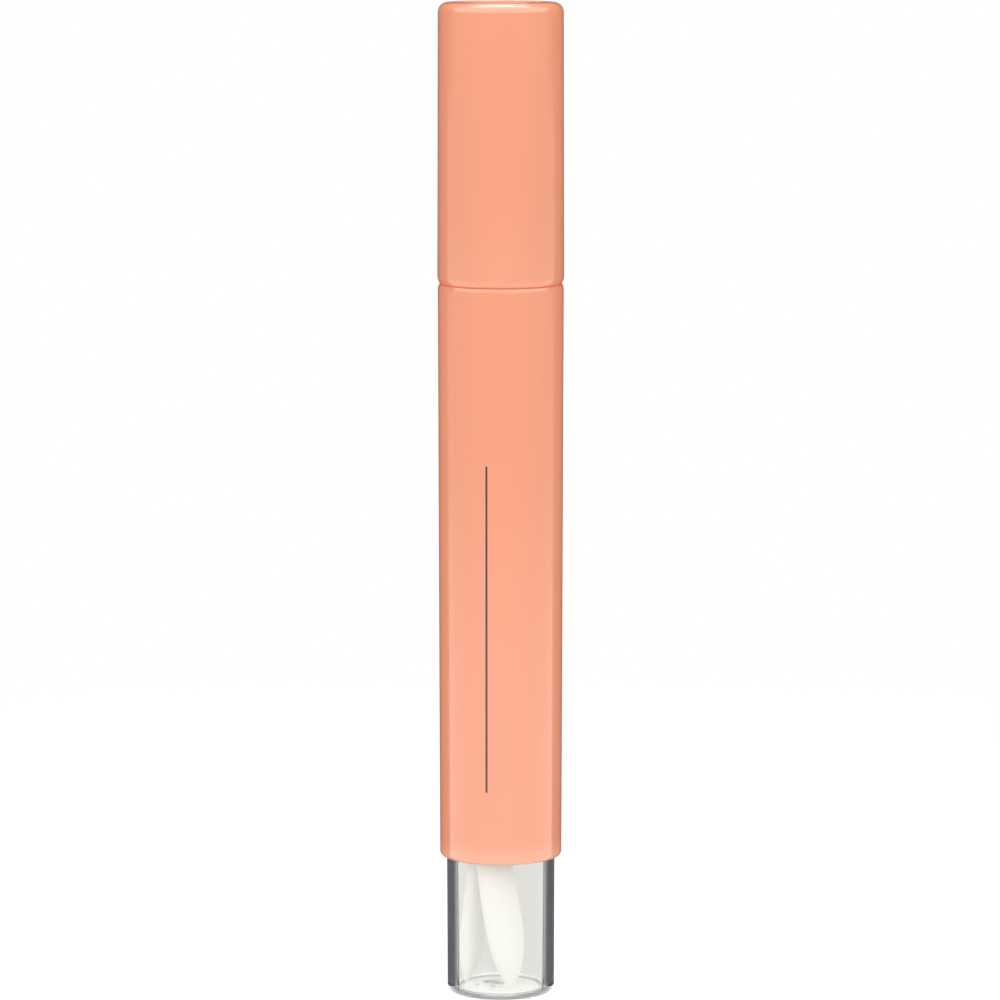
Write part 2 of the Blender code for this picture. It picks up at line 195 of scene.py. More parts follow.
def seen_in_gloss(tree):
    """1 for reflected rays alone: a ray through clear plastic counts as glossy too."""
    path = put(tree, "ShaderNodeLightPath")
    not_through = rest_of(tree, path.outputs["Is Transmission Ray"])
    return times(tree, path.outputs["Is Glossy Ray"], not_through)


room = bpy.data.worlds.new("white_room")
bpy.context.scene.world = room
tree = emptied(room)
direction = put(tree, "ShaderNodeTexCoord").outputs["Generated"]
heading = put(tree, "ShaderNodeSeparateXYZ", {0: direction})
behind = fades(tree, heading.outputs["Y"], 0, BEHIND)
upwards = maths(tree, "SUBTRACT", heading.outputs["Z"], times(tree, behind, BEHIND_SHADE))
ceiling = times(tree, fades(tree, upwards, CEILING_NEAR, CEILING_FAR), CEILING_LIGHT)
low_sky = rest_of(tree, times(tree, behind, 1 - LOW_SKY))
shine = times(tree, maths(tree, "ADD", ceiling, low_sky), seen_in_gloss(tree))
plain = maths(tree, "MAXIMUM", seen_directly(tree), ROOM_LIGHT)
plain = times(tree, plain, rest_of(tree, seen_in_gloss(tree)))
brightness = maths(tree, "ADD", plain, shine)
walls = put(tree, "ShaderNodeBackground", {"Color": WHITE, "Strength": brightness})
put(tree, "ShaderNodeOutputWorld", {"Surface": walls.outputs[0]})

bpy.ops.mesh.primitive_plane_add(size=FLOOR_SIZE, location=(0, 0, -FLOOR_DROP))
floor = bpy.context.object
floor.name = "floor"
paper = bpy.data.materials.new("white_paper")
tree = emptied(paper)
matt = put(tree, "ShaderNodeBsdfDiffuse", {"Color": FLOOR_COLOUR})
seen = seen_directly(tree)
away = vector_maths(tree, "LENGTH", object_place(tree))
# Painted light: in gloss the floor glows brighter in a pool round the pen.
pool = rest_of(tree, fades(tree, away, POOL_NEAR, POOL_FAR))
pool_painted_glow = times(tree, pool, POOL_PAINTED_GLOW, seen_in_gloss(tree))
glow = glowing(tree, WHITE, times(tree, seen, FLOOR_LIFT))
near_floor = put(tree, "ShaderNodeAddShader", {0: matt.outputs[0], 1: glow.outputs[0]})
past_a_surface = put(tree, "ShaderNodeLightPath").outputs["Is Glossy Ray"]
far = maths(tree, "MAXIMUM", fades(tree, away, FLOOR_NEAR, FLOOR_FAR), past_a_surface)
# Painted light: seen in gloss or through clear plastic, the floor glows brighter just under the tail cap.
painted_glow_under = rest_of(tree, fades(tree, away, UNDER_NEAR, UNDER_FAR))
painted_glow_under = times(tree, painted_glow_under, UNDER_PAINTED_GLOW, past_a_surface)
shine = maths(tree, "ADD", maths(tree, "ADD", seen, pool_painted_glow), painted_glow_under)
white = glowing(tree, WHITE, shine)
not_light = maths(tree, "CEIL", seen)
surfaced(tree, either(tree, times(tree, far, not_light), near_floor, white))
floor.data.materials.append(paper)


def soft_box(name, place, target, size, power):
    """Adds a square lamp at a place, turned to a target, that gloss doesn't see."""
    turn = (Vector(target) - Vector(place)).to_track_quat("-Z", "Y").to_euler()
    bpy.ops.object.light_add(type="AREA", location=place, rotation=turn)
    lamp = bpy.context.object
    lamp.name = name
    lamp.data.size = size
    lamp.data.energy = power
    lamp.visible_glossy = False


pen_middle = (cad_box[0] + cad_box[1]) / 2
soft_box("overhead_box", (0, 0, OVERHEAD_HEIGHT), (0, 0, 0), OVERHEAD_SIZE, OVERHEAD_POWER)
for bearing in FRONT_BEARINGS:
    spot = (
        FRONT_DISTANCE * sin(radians(bearing)),
        -FRONT_DISTANCE * cos(radians(bearing)),
        FRONT_HEIGHT,
    )
    soft_box("front_box", spot, pen_middle, FRONT_SIZE, FRONT_POWER)


# Highlight strip: a bright strip high over the cap, a little behind it, which draws the thin white
# line along its rounded top. Only gloss sees it.
STRIP_SIZE = (0.52, 0.11)
STRIP_PLACE = (0, 0.12, 0.72)
STRIP_LIGHT = 26


def only_in_gloss(thing):
    """Hides a thing from all but reflected rays."""
    for kind in ("camera", "diffuse", "transmission", "shadow"):
        setattr(thing, "visible_" + kind, False)


bpy.ops.object.select_all(action="DESELECT")
bpy.ops.mesh.primitive_plane_add(size=1, location=STRIP_PLACE)
strip = bpy.context.object
strip.name = "highlight_strip"
strip.scale = (*STRIP_SIZE, 1)
bpy.ops.object.transform_apply(location=True, rotation=True, scale=True)
strip_glow = bpy.data.materials.new("strip_glow")
tree = emptied(strip_glow)
surfaced(tree, glowing(tree, WHITE, STRIP_LIGHT))
strip.data.materials.append(strip_glow)
only_in_gloss(strip)


# Dark cards: two tall cards stand close behind the pen, left and right, each with a foot that lies on
# the floor towards the pen. They darken the gloss along its sides, and only gloss sees them. Their tops
# fade away over the cap.
CARD_NEAR_EDGE = (0.0176, 0.0006)
CARD_FAR_EDGE = (0.0065, 0.0200)
CARD_HEIGHT = 0.20
CARD_FADES_FROM = 0.125
CARD_LIFT = 0.00002
CARD_FOOT = (-0.0068, -0.0036)
CARD_COLOUR = (0.040, 0.036, 0.050, 1)


def height_in(tree, place):
    """The height of a place."""
    return put(tree, "ShaderNodeSeparateXYZ", {0: place}).outputs["Z"]


card_paint = bpy.data.materials.new("dark_card")
tree = emptied(card_paint)
dark = glowing(tree, CARD_COLOUR, 1.0)
nothing = put(tree, "ShaderNodeBsdfTransparent")
height = height_in(tree, object_place(tree))
surfaced(tree, either(tree, fades(tree, height, CARD_FADES_FROM, CARD_HEIGHT), dark, nothing))
for side in (-1, 1):
    near, far = (Vector((side * x, y, 0)) for x, y in (CARD_NEAR_EDGE, CARD_FAR_EDGE))
    across = far - near
    bpy.ops.object.select_all(action="DESELECT")
    bpy.ops.mesh.primitive_plane_add(size=1, location=(0, 0, 0))
    card = bpy.context.object
    card.name = "dark_card_left" if side < 0 else "dark_card_right"
    upright = Matrix((across, (0, 0, CARD_HEIGHT), across.cross(Vector((0, 0, 1))))).transposed()
    middle = (near + far) / 2 + Vector((0, 0, CARD_HEIGHT / 2 + CARD_LIFT))
    card.data.transform(upright.to_4x4())
    card.data.transform(Matrix.Translation(middle))
    bpy.ops.object.mode_set(mode="EDIT")
    mesh = bmesh.from_edit_mesh(card.data)
    bpy.ops.mesh.select_mode(type="EDGE")
    bpy.ops.mesh.select_all(action="DESELECT")
    for edge in mesh.edges:
        edge.select = all(point.co.z < CARD_HEIGHT / 2 for point in edge.verts)
    bmesh.update_edit_mesh(card.data)
    foot = (side * CARD_FOOT[0], CARD_FOOT[1], 0)
    bpy.ops.mesh.extrude_edges_move(TRANSFORM_OT_translate={"value": foot})
    bpy.ops.object.mode_set(mode="OBJECT")
    only_in_gloss(card)
    card.data.materials.append(card_paint)


# Cap shell: injection-moulded in satin orange polypropylene, with a slight draft, a rounded mouth
# and a shallow dish in its top that keeps the gate's mark below the rim. It slides on the barrel's neck.
# A noise is its scale, detail, roughness and distortion; a finish its roughness, grain and grain height.
MM = 0.001
ROUND_SIDES = 96
NEAR = 0.00002
POLE = 0.0002
MERGE_DISTANCE = 0.0000005
SMOOTH_ANGLE = 32
CAP_WALL = 0.00115
CAP_TAPER = 0.0001
CAP_ROOF = 0.0013
CAP_LEAD_IN = 0.0003
CAP_MOUTH_ROUNDING = ((0, 0.95), (0.04, 0.68), (0.12, 0.42), (0.22, 0.20), (0.33, 0.06), (0.41, 0))
CAP_SEAT = 0.00028
CAP_TOP_ROUNDING = 0.0012
CAP_TOP_STEPS = 8
DISH_RADIUS = 0.0058
DISH_DEPTH = 0.00045
DISH_ROUNDING = 0.00018
DISH_EDGE_STEPS = 4
DISH_CORNER_STEPS = 3
GATE_RADIUS = 0.0007
GATE_RISE = 0.00012
FLOW_STRETCH = (1, 1, 0.22)
FLOW_NOISE = (260, 4, 0.6)
FLOW_TINT = 0.35
GRAIN_DETAIL = 3
GRAIN_STRENGTH = 0.35
WIPED_NOISE = (900, 5)
WIPED_SPREAD = 0.10
PLASTIC_IOR = 1.50
ORANGE = (0.945, 0.361, 0.214, 1)
ORANGE_DEEP = (0.936, 0.344, 0.198, 1)
ORANGE_PAINTED_LIGHT = (0.985, 0.450, 0.285, 1)
ORANGE_DISH_PAINTED_SHADE = (0.80, 0.285, 0.175, 1)
ORANGE_FINISH = (0.17, 5200, 0.000008)
PAINTED_LIGHT_LOW = 0.0178
PAINTED_LIGHT_HIGH = 0.0208


def lofted(name, rings, sides):
    """Extrudes a ring from place to place, each a half width, half depth, sideways shift and height."""
    wide, deep, shift, height = rings[0]
    bpy.ops.object.select_all(action="DESELECT")
    bpy.ops.mesh.primitive_circle_add(vertices=sides, radius=wide, location=(shift, 0, height))
    piece = bpy.context.object
    piece.name = name
    bpy.ops.object.transform_apply(location=True, rotation=True, scale=True)
    bpy.ops.object.mode_set(mode="EDIT")
    bpy.ops.transform.resize(value=(1, deep / wide, 1), center_override=(shift, 0, height))
    for next_wide, next_deep, next_shift, next_height in rings[1:]:
        step = (next_shift - shift, 0, next_height - height)
        growth = (next_wide / wide, next_deep / deep, 1)
        bpy.ops.mesh.extrude_edges_move(TRANSFORM_OT_translate={"value": step})
        bpy.ops.transform.resize(value=growth, center_override=(next_shift, 0, next_height))
        wide, deep, shift, height = next_wide, next_deep, next_shift, next_height
    return piece


def turned(name, outline):
    """Turns an outline of radius and height about the pen's axis, and stays in edit mode."""
    return lofted(name, [(radius, radius, 0, height) for radius, height in outline], ROUND_SIDES)


def round_ring(radius, height, rounding, steps):
    """Bevels the ring edge at a radius and height of the piece in edit mode."""
    mesh = bmesh.from_edit_mesh(bpy.context.object.data)
    bpy.ops.mesh.select_all(action="DESELECT")
    for edge in mesh.edges:
        edge.select = all(
            abs(point.co.xy.length - radius) < NEAR and abs(point.co.z - height) < NEAR
            for point in edge.verts
        )
    mesh.select_flush_mode()
    bmesh.update_edit_mesh(bpy.context.object.data)
    bpy.ops.mesh.bevel(offset=rounding, segments=steps, affect="EDGES")


def close_ends(as_tube=False):
    """Closes the piece in edit mode: a tube's two ends are bridged, other ends get a face each."""
    bpy.ops.mesh.select_mode(type="EDGE")
    bpy.ops.mesh.select_all(action="DESELECT")
    bpy.ops.mesh.select_non_manifold()
    if as_tube:
        bpy.ops.mesh.bridge_edge_loops()
    else:
        bpy.ops.mesh.fill_holes(sides=0)


def leave_bench(smooth_angle=SMOOTH_ANGLE):
    """Ends the modelling: doubles merged, faces outwards, rounded faces shaded smooth."""
    bpy.ops.mesh.select_all(action="SELECT")
    bpy.ops.mesh.remove_doubles(threshold=MERGE_DISTANCE)
    bpy.ops.mesh.normals_make_consistent(inside=False)
    bpy.ops.object.mode_set(mode="OBJECT")
    bpy.ops.object.shade_smooth_by_angle(angle=radians(smooth_angle))


def from_axis(tree, place):
    """How far a place is from the pen's axis."""
    return vector_maths(tree, "LENGTH", vector_maths(tree, "MULTIPLY", place, (1, 1, 0)))


def stretched(tree, place, scale):
    """Scales a place on each axis, so that a noise there is drawn out."""
    return put(tree, "ShaderNodeMapping", {"Vector": place, "Scale": scale}).outputs[0]


def noise(tree, place, scale, detail, roughness=0.5, distortion=0.0):
    """The value of a noise at a place."""
    look = {"Scale": scale, "Detail": detail, "Roughness": roughness, "Distortion": distortion}
    return put(tree, "ShaderNodeTexNoise", {"Vector": place, **look}).outputs[0]


def mixed(tree, share, first, second):
    """Mixes two colours."""
    return put(tree, "ShaderNodeMixRGB", {0: share, 1: first, 2: second}).outputs[0]


def bumpy(tree, strength, distance, height):
    """The normal of a bump."""
    look = {"Strength": strength, "Distance": distance, "Height": height}
    return put(tree, "ShaderNodeBump", look).outputs[0]


def plastic(name, colour, deep_colour, roughness, grain, grain_height):
    """Moulded plastic: faint flow in its colour, and a fine satin grain from the mould's steel."""
    material = bpy.data.materials.new(name)
    tree = emptied(material)
    place = object_place(tree)
    drawn = stretched(tree, place, FLOW_STRETCH)
    flow = times(tree, noise(tree, drawn, *FLOW_NOISE), FLOW_TINT)
    fine = noise(tree, place, grain, GRAIN_DETAIL)
    wiped = maths(tree, "SUBTRACT", noise(tree, drawn, *WIPED_NOISE), 0.5)
    look = {
        "Base Color": mixed(tree, flow, colour, deep_colour),
        "Roughness": maths(tree, "ADD", times(tree, wiped, WIPED_SPREAD), roughness),
        "IOR": PLASTIC_IOR,
        "Normal": bumpy(tree, GRAIN_STRENGTH, grain_height, fine),
    }
    surfaced(tree, put(tree, "ShaderNodeBsdfPrincipled", look))
    return material


def principled(material):
    """The inputs of a material's Principled shader."""
    return next(node for node in material.node_tree.nodes if node.type == "BSDF_PRINCIPLED").inputs


cap_low, cap_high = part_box("cap_shell")
cap_mouth = cap_high.x
cap_top = cap_mouth - CAP_TAPER
cap_edge = cap_low.z - CAP_SEAT
cap_ceiling = cap_high.z - CAP_ROOF
dish_floor = cap_high.z - DISH_DEPTH
cap_shell = turned(
    "outer_cap",
    [
        (POLE, cap_ceiling),
        (cap_top - CAP_WALL, cap_ceiling),
        (cap_mouth - CAP_WALL, cap_edge + CAP_LEAD_IN),
        (cap_mouth - CAP_WALL + CAP_LEAD_IN, cap_edge),
        *[(cap_mouth - MM * inward, cap_edge + MM * up) for inward, up in reversed(CAP_MOUTH_ROUNDING)],
        (cap_top, cap_high.z),
        (DISH_RADIUS, cap_high.z),
        (DISH_RADIUS, dish_floor),
        (GATE_RADIUS, dish_floor),
        (GATE_RADIUS, dish_floor + GATE_RISE),
        (POLE, dish_floor + GATE_RISE),
    ],
)
close_ends()
round_ring(cap_top, cap_high.z, CAP_TOP_ROUNDING, CAP_TOP_STEPS)
round_ring(DISH_RADIUS, cap_high.z, DISH_ROUNDING, DISH_EDGE_STEPS)
round_ring(DISH_RADIUS, dish_floor, DISH_ROUNDING, DISH_CORNER_STEPS)
leave_bench()
orange = plastic("satin_orange", ORANGE, ORANGE_DEEP, *ORANGE_FINISH)
tree = orange.node_tree
base_colour = principled(orange)["Base Color"]
place = object_place(tree)
height = height_in(tree, place)
# Painted light: the orange turns paler low on the barrel, at its rear lip by the clear cap.
painted_light = rest_of(tree, fades(tree, height, PAINTED_LIGHT_LOW, PAINTED_LIGHT_HIGH))
painted_light_tint = mixed(tree, painted_light, base_colour.links[0].from_socket, ORANGE_PAINTED_LIGHT)
# Painted shade: the orange is darker inside the dish in the cap's top, where its wall lies in shade.
within_edge = maths(tree, "LESS_THAN", from_axis(tree, place), DISH_RADIUS + DISH_ROUNDING / 2)
dish_painted_shade = times(tree, within_edge, maths(tree, "GREATER_THAN", height, cap_ceiling + NEAR))
tree.links.new(mixed(tree, dish_painted_shade, painted_light_tint, ORANGE_DISH_PAINTED_SHADE), base_colour)
cap_shell.data.materials.append(orange)
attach(cap_shell, "cap")
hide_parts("cap_shell")


# Cap liner: a soft natural polyethylene cup pressed into the cap, which seals on the holder's
# collar. Its flange fills the cap's bore, and its ribs hold it there.
LINER_BORE = 0.0048
LINER_WALL = 0.0008
LINER_ROOF = 0.0009
LINER_FLANGE = 0.0010
LINER_ROUNDING = 0.0006
LINER_RIB_SETBACK = 0.0006
LINER_RIB_COUNT = 6
LINER_RIB_SIDES = 1.5
NATURAL_WHITE = (0.86, 0.85, 0.81, 1)
NATURAL_SHADE = (0.80, 0.79, 0.74, 1)
NATURAL_FINISH = (0.42, 4200, 0.00001)
NATURAL_DEPTH = {
    "Subsurface Weight": 0.25,
    "Subsurface Radius": (1.0, 0.9, 0.8),
    "Subsurface Scale": 0.0008,
}

liner_low, liner_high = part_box("cap_liner")
liner_outside = LINER_BORE + LINER_WALL
flange_top = liner_low.z + LINER_FLANGE
rib_low = flange_top + LINER_RIB_SETBACK
liner = turned(
    "cap_liner_cup",
    [
        (POLE, liner_high.z - LINER_ROOF),
        (LINER_BORE, liner_high.z - LINER_ROOF),
        (LINER_BORE, liner_low.z),
        (liner_high.x, liner_low.z),
        (liner_high.x, flange_top),
        (liner_outside, flange_top),
        (liner_outside, rib_low),
        (liner_outside, liner_high.z - LINER_ROUNDING),
        (liner_outside - LINER_ROUNDING, liner_high.z),
        (POLE, liner_high.z),
    ],
)
close_ends()
mesh = bmesh.from_edit_mesh(liner.data)
bpy.ops.mesh.select_mode(type="FACE")
bpy.ops.mesh.select_all(action="DESELECT")
rib_middle = (rib_low + liner_high.z - LINER_ROUNDING) / 2
rib_share = LINER_RIB_SIDES * LINER_RIB_COUNT / ROUND_SIDES
for face in mesh.faces:
    middle = face.calc_center_median()
    outside = middle.xy.length > (LINER_BORE + liner_outside) / 2
    turn = (middle.xy.angle_signed(Vector((1, 0)), 0) / radians(360) % 1) * LINER_RIB_COUNT % 1
    face.select = outside and abs(middle.z - rib_middle) < NEAR and turn < rib_share
bmesh.update_edit_mesh(liner.data)
bpy.ops.mesh.extrude_region_shrink_fatten(
    TRANSFORM_OT_shrink_fatten={"value": liner_high.x - liner_outside - NEAR}
)
leave_bench()
natural = plastic("natural_polyethylene", NATURAL_WHITE, NATURAL_SHADE, *NATURAL_FINISH)
for socket, value in NATURAL_DEPTH.items():
    principled(natural)[socket].default_value = value
liner.data.materials.append(natural)
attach(liner, "cap")
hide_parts("cap_liner")


# Barrel: the same satin orange as the cap, a long moulded tube with a slight taper, a softly rounded
# rear lip whose orange is painted paler, as if lit, a shoulder for the cap and a slim neck with a snap
# ring.
BARREL_SHOULDER = 0.0909
BARREL_TAPER = 0.0002
REAR_LIP_WALL = 0.000675
REAR_LIP_DEPTH = 0.0012
REAR_LIP_ROUNDING = 0.00058
REAR_LIP_STEPS = 8
REAR_BORE = 0.006645
BORE_STEP = 0.0003
BORE_STEP_HEIGHT = 0.0167
SHOULDER_WALL = 0.0015
SHOULDER_ROUNDING = ((0, 0.62), (0.02, 0.42), (0.07, 0.22), (0.15, 0.06), (0.25, 0))
NECK_RADIUS = 0.00653
NECK_WALL = 0.00125
NECK_CHAMFER = 0.0003
NECK_RING_RISE = 0.00012
NECK_RING_LOW = 0.0022
NECK_RING_WIDTH = 0.0014

barrel_low, barrel_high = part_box("barrel")
barrel_front = barrel_high.x
barrel_rear = barrel_front - BARREL_TAPER
lip_bore = barrel_rear - REAR_LIP_WALL
reservoir_bore = REAR_BORE - BORE_STEP
neck_bore = NECK_RADIUS - NECK_WALL
chamber_top = BARREL_SHOULDER - SHOULDER_WALL
ring_low = BARREL_SHOULDER + NECK_RING_LOW
ring_high = ring_low + NECK_RING_WIDTH
ring_radius = NECK_RADIUS + NECK_RING_RISE
barrel = turned(
    "barrel_tube",
    [
        (neck_bore, barrel_high.z),
        (neck_bore, chamber_top),
        (reservoir_bore, chamber_top),
        (reservoir_bore, barrel_low.z + BORE_STEP_HEIGHT),
        (REAR_BORE, barrel_low.z + BORE_STEP_HEIGHT),
        (REAR_BORE, barrel_low.z + REAR_LIP_DEPTH),
        (lip_bore, barrel_low.z + REAR_LIP_DEPTH),
        (lip_bore, barrel_low.z),
        (barrel_rear, barrel_low.z),
        *[(barrel_front - MM * inward, BARREL_SHOULDER - MM * down) for inward, down in SHOULDER_ROUNDING],
        (NECK_RADIUS, BARREL_SHOULDER),
        (NECK_RADIUS, ring_low),
        (ring_radius, ring_low + NECK_RING_WIDTH / 3),
        (ring_radius, ring_high - NECK_RING_WIDTH / 3),
        (NECK_RADIUS, ring_high),
        (NECK_RADIUS, barrel_high.z - NECK_CHAMFER),
        (NECK_RADIUS - NECK_CHAMFER, barrel_high.z),
    ],
)
close_ends(as_tube=True)
round_ring(barrel_rear, barrel_low.z, REAR_LIP_ROUNDING, REAR_LIP_STEPS)
leave_bench()
barrel.data.materials.append(orange)
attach(barrel, "barrel")
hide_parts("barrel")


# Printed line: one thin upright line of dark ink, screen-printed on the barrel's front. It is a
# film of ink on the plastic, so it is a strip laid on the barrel and given its thickness.
LINE_SIDE = -0.0018
LINE_LOW = 0.0271
LINE_HIGH = 0.0686
LINE_WIDTH = 0.00025
LINE_CUTS = 7
INK_FILM = 0.00001
INK = (0.022, 0.010, 0.008, 1)
INK_THIN = (0.060, 0.026, 0.018, 1)
INK_NOISE = (2600, 4)
INK_BUMP = 0.3
INK_ROUGHNESS = 0.45


def worked(piece, kind, **options):
    """Adds a modifier to the active piece, sets its options and applies it."""
    step = piece.modifiers.new(kind.lower(), kind)
    for option, value in options.items():
        setattr(step, option, value)
    bpy.ops.object.modifier_apply(modifier=step.name)


bpy.ops.object.select_all(action="DESELECT")
bpy.ops.mesh.primitive_plane_add(
    size=1,
    location=(LINE_SIDE, -barrel_high.x - CAP_WALL, (LINE_LOW + LINE_HIGH) / 2),
    rotation=(radians(90), 0, 0),
)
printed_line = bpy.context.object
printed_line.name = "printed_line"
bpy.ops.object.mode_set(mode="EDIT")
bpy.ops.transform.resize(value=(LINE_WIDTH, 1, LINE_HIGH - LINE_LOW))
bpy.ops.mesh.subdivide(number_cuts=LINE_CUTS)
bpy.ops.object.mode_set(mode="OBJECT")
bpy.ops.object.transform_apply(location=True, rotation=True, scale=True)
worked(
    printed_line,
    "SHRINKWRAP",
    target=barrel,
    wrap_method="PROJECT",
    use_project_y=True,
    use_positive_direction=True,
    use_negative_direction=True,
)
worked(printed_line, "SOLIDIFY", thickness=2 * INK_FILM, offset=0)
ink = bpy.data.materials.new("dark_ink")
tree = emptied(ink)
patchy = noise(tree, object_place(tree), *INK_NOISE)
look = {
    "Base Color": mixed(tree, patchy, INK, INK_THIN),
    "Roughness": INK_ROUGHNESS,
    "Normal": bumpy(tree, INK_BUMP, INK_FILM, patchy),
}
surfaced(tree, put(tree, "ShaderNodeBsdfPrincipled", look))
printed_line.data.materials.append(ink)
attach(printed_line, "barrel")


# Nib holder: a natural polyethylene plug pushed into the neck down to its flange, with a collar on which
# the cap's liner seals and a nose with the oval slot that grips the felt nib. The two vent grooves of
# its solid lie out of sight in the neck, and are left out here.
HOLDER_FLANGE = 0.0010
HOLDER_FLANGE_SETBACK = 0.0003
HOLDER_COLLAR = 0.0046
HOLDER_COLLAR_LENGTH = 0.0032
HOLDER_NOSE = 0.0035
HOLDER_NOSE_ROUNDING = 0.0004
HOLDER_NOSE_STEPS = 5
HOLDER_PLUG = 0.00508
HOLDER_EDGE = 0.00012
HOLDER_EDGE_STEPS = 3
FLANGE_SEAT = 0.0003
SLOT_HALF_WIDTH = 0.002725
SLOT_HALF_DEPTH = 0.0017
SLOT_OVERRUN = 0.001
SLOT_SIDES = 48

holder_low, holder_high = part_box("nib_holder")
flange = NECK_RADIUS - HOLDER_FLANGE_SETBACK
flange_low = barrel_high.z + FLANGE_SEAT
flange_high = flange_low + HOLDER_FLANGE
collar_high = flange_high + HOLDER_COLLAR_LENGTH
holder = turned(
    "nib_holder_plug",
    [
        (POLE, holder_low.z),
        (HOLDER_PLUG, holder_low.z),
        (HOLDER_PLUG, flange_low),
        (flange, flange_low),
        (flange, flange_high),
        (HOLDER_COLLAR, flange_high),
        (HOLDER_COLLAR, collar_high),
        (HOLDER_NOSE, holder_high.z),
        (POLE, holder_high.z),
    ],
)
close_ends()
round_ring(HOLDER_PLUG, holder_low.z, HOLDER_EDGE, HOLDER_EDGE_STEPS)
round_ring(flange, flange_high, HOLDER_EDGE, HOLDER_EDGE_STEPS)
round_ring(HOLDER_COLLAR, collar_high, HOLDER_EDGE, HOLDER_EDGE_STEPS)
round_ring(HOLDER_NOSE, holder_high.z, HOLDER_NOSE_ROUNDING, HOLDER_NOSE_STEPS)
leave_bench()
slot_cutter = lofted(
    "slot_cutter",
    [
        (SLOT_HALF_WIDTH, SLOT_HALF_DEPTH, 0, holder_low.z - SLOT_OVERRUN),
        (SLOT_HALF_WIDTH, SLOT_HALF_DEPTH, 0, holder_high.z + SLOT_OVERRUN),
    ],
    SLOT_SIDES,
)
close_ends()
leave_bench()
bpy.ops.object.select_all(action="DESELECT")
bpy.context.view_layer.objects.active = holder
holder.select_set(True)
worked(holder, "BOOLEAN", operation="DIFFERENCE", object=slot_cutter)
bpy.data.objects.remove(slot_cutter, do_unlink=True)
holder.data.materials.clear()
holder.data.materials.append(natural)
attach(holder, "barrel")
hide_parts("nib_holder")


# Felt nibs: cut from bonded polyester felt to a flat leaf with a slanted tip. One is gripped in the
# holder and two lie loose in the tail cap. An outline row is how far along, wide, thick and aside; a
# spare nib is its names, the bearings of its head, tail and face, and how far out its head and tail are.
NIB_LENGTH = 0.0300
NIB_WIDTH = 0.00505
NIB_THICKNESS = 0.0030
NIB_SIDES = 48
NIB_SMOOTH_ANGLE = 60
NIB_SUBDIVISIONS = 2
NIB_HEAD_share = 0.20
NIB_OUTLINE_shares = (
    (0.004, 0.10, 0.12, -0.080),
    (0.015, 0.20, 0.21, -0.074),
    (0.037, 0.337, 0.36, -0.060),
    (0.070, 0.513, 0.60, -0.042),
    (0.097, 0.644, 0.77, -0.028),
    (0.130, 0.757, 0.91, -0.016),
    (0.170, 0.863, 0.99, -0.006),
    (0.210, 0.938, 1.00, 0.0),
    (0.270, 0.977, 1.00, 0.0),
    (0.360, 1.0, 0.97, 0.0),
    (0.450, 0.974, 0.93, 0.0),
    (0.550, 0.923, 0.87, 0.0),
    (0.700, 0.842, 0.80, 0.0),
    (0.850, 0.782, 0.76, 0.0),
    (0.988, 0.745, 0.74, 0.0),
    (1.0, 0.68, 0.66, 0.0),
)
FELT = (0.965, 0.985, 0.935, 1)
FELT_SHADE = (0.900, 0.915, 0.860, 1)
FELT_LUMP = 0.00005
FELT_LUMP_SIZE = 0.0006
FELT_LUMP_DEPTH = 3
FELT_STRETCH = (1, 1, 0.35)
FELT_FIBRES = (5200, 6, 0.7)
FELT_LINT = (900, 4)
FELT_SOILING = 0.5
FELT_BUMP = 0.5
FELT_BUMP_HEIGHT = 0.00003
FELT_FINISH = {
    "Roughness": 0.95,
    "Subsurface Weight": 0.3,
    "Subsurface Radius": (1.0, 1.0, 0.95),
    "Subsurface Scale": 0.0008,
    "Sheen Weight": 0.2,
    "Sheen Roughness": 0.6,
}
STORE_FLOOR_RADIUS = 0.005535
NIB_WALL_GAP = 0.0003
NIB_REST = 0.0011
SPARE_NIBS = (
    ("spare_felt_nib_1", "spare_nib_1", 178, 124, 73, 0.987, 0.75),
    ("spare_felt_nib_2", "spare_nib_2", -78.5, 203.5, 26, 0.978, 0.842),
)


def felt_nib(name):
    """One felt nib with its tip down at the origin, slightly lumpy."""
    rings = []
    for along, wide, thick, shift in NIB_OUTLINE_shares:
        half_width = wide * (NIB_WIDTH / 2 - FELT_LUMP)
        half_depth = thick * (NIB_THICKNESS / 2 - FELT_LUMP)
        rings.append((half_width, half_depth, shift * NIB_WIDTH, along * NIB_LENGTH))
    nib = lofted(name, rings, NIB_SIDES)
    close_ends()
    leave_bench(NIB_SMOOTH_ANGLE)
    worked(nib, "SUBSURF", levels=NIB_SUBDIVISIONS, render_levels=NIB_SUBDIVISIONS)
    lumps = bpy.data.textures.new("felt_lumps", "CLOUDS")
    lumps.noise_scale = FELT_LUMP_SIZE
    lumps.noise_depth = FELT_LUMP_DEPTH
    worked(nib, "DISPLACE", strength=FELT_LUMP, mid_level=0.5, texture=lumps)
    return nib


def towards(bearing):
    """The level direction of a bearing."""
    return Vector((cos(radians(bearing)), sin(radians(bearing))))


felt = bpy.data.materials.new("white_felt")
tree = emptied(felt)
place = object_place(tree)
fibres = noise(tree, stretched(tree, place, FELT_STRETCH), *FELT_FIBRES)
lint = noise(tree, place, *FELT_LINT)
skin = maths(tree, "ADD", fibres, lint)
look = {
    "Base Color": mixed(tree, times(tree, lint, FELT_SOILING), FELT, FELT_SHADE),
    "Normal": bumpy(tree, FELT_BUMP, FELT_BUMP_HEIGHT, skin),
    **FELT_FINISH,
}
surfaced(tree, put(tree, "ShaderNodeBsdfPrincipled", look))

working_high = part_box("working_nib")[1]
working_nib = felt_nib("working_felt_nib")
bpy.ops.object.mode_set(mode="EDIT")
bpy.ops.mesh.select_all(action="SELECT")
bpy.ops.transform.resize(value=(1, -1, -1), center_override=(0, 0, 0))
bpy.ops.transform.translate(value=(0, 0, working_high.z))
bpy.ops.mesh.normals_make_consistent(inside=False)
bpy.ops.object.mode_set(mode="OBJECT")
working_nib.data.materials.append(felt)
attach(working_nib, "barrel")
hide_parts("working_nib")

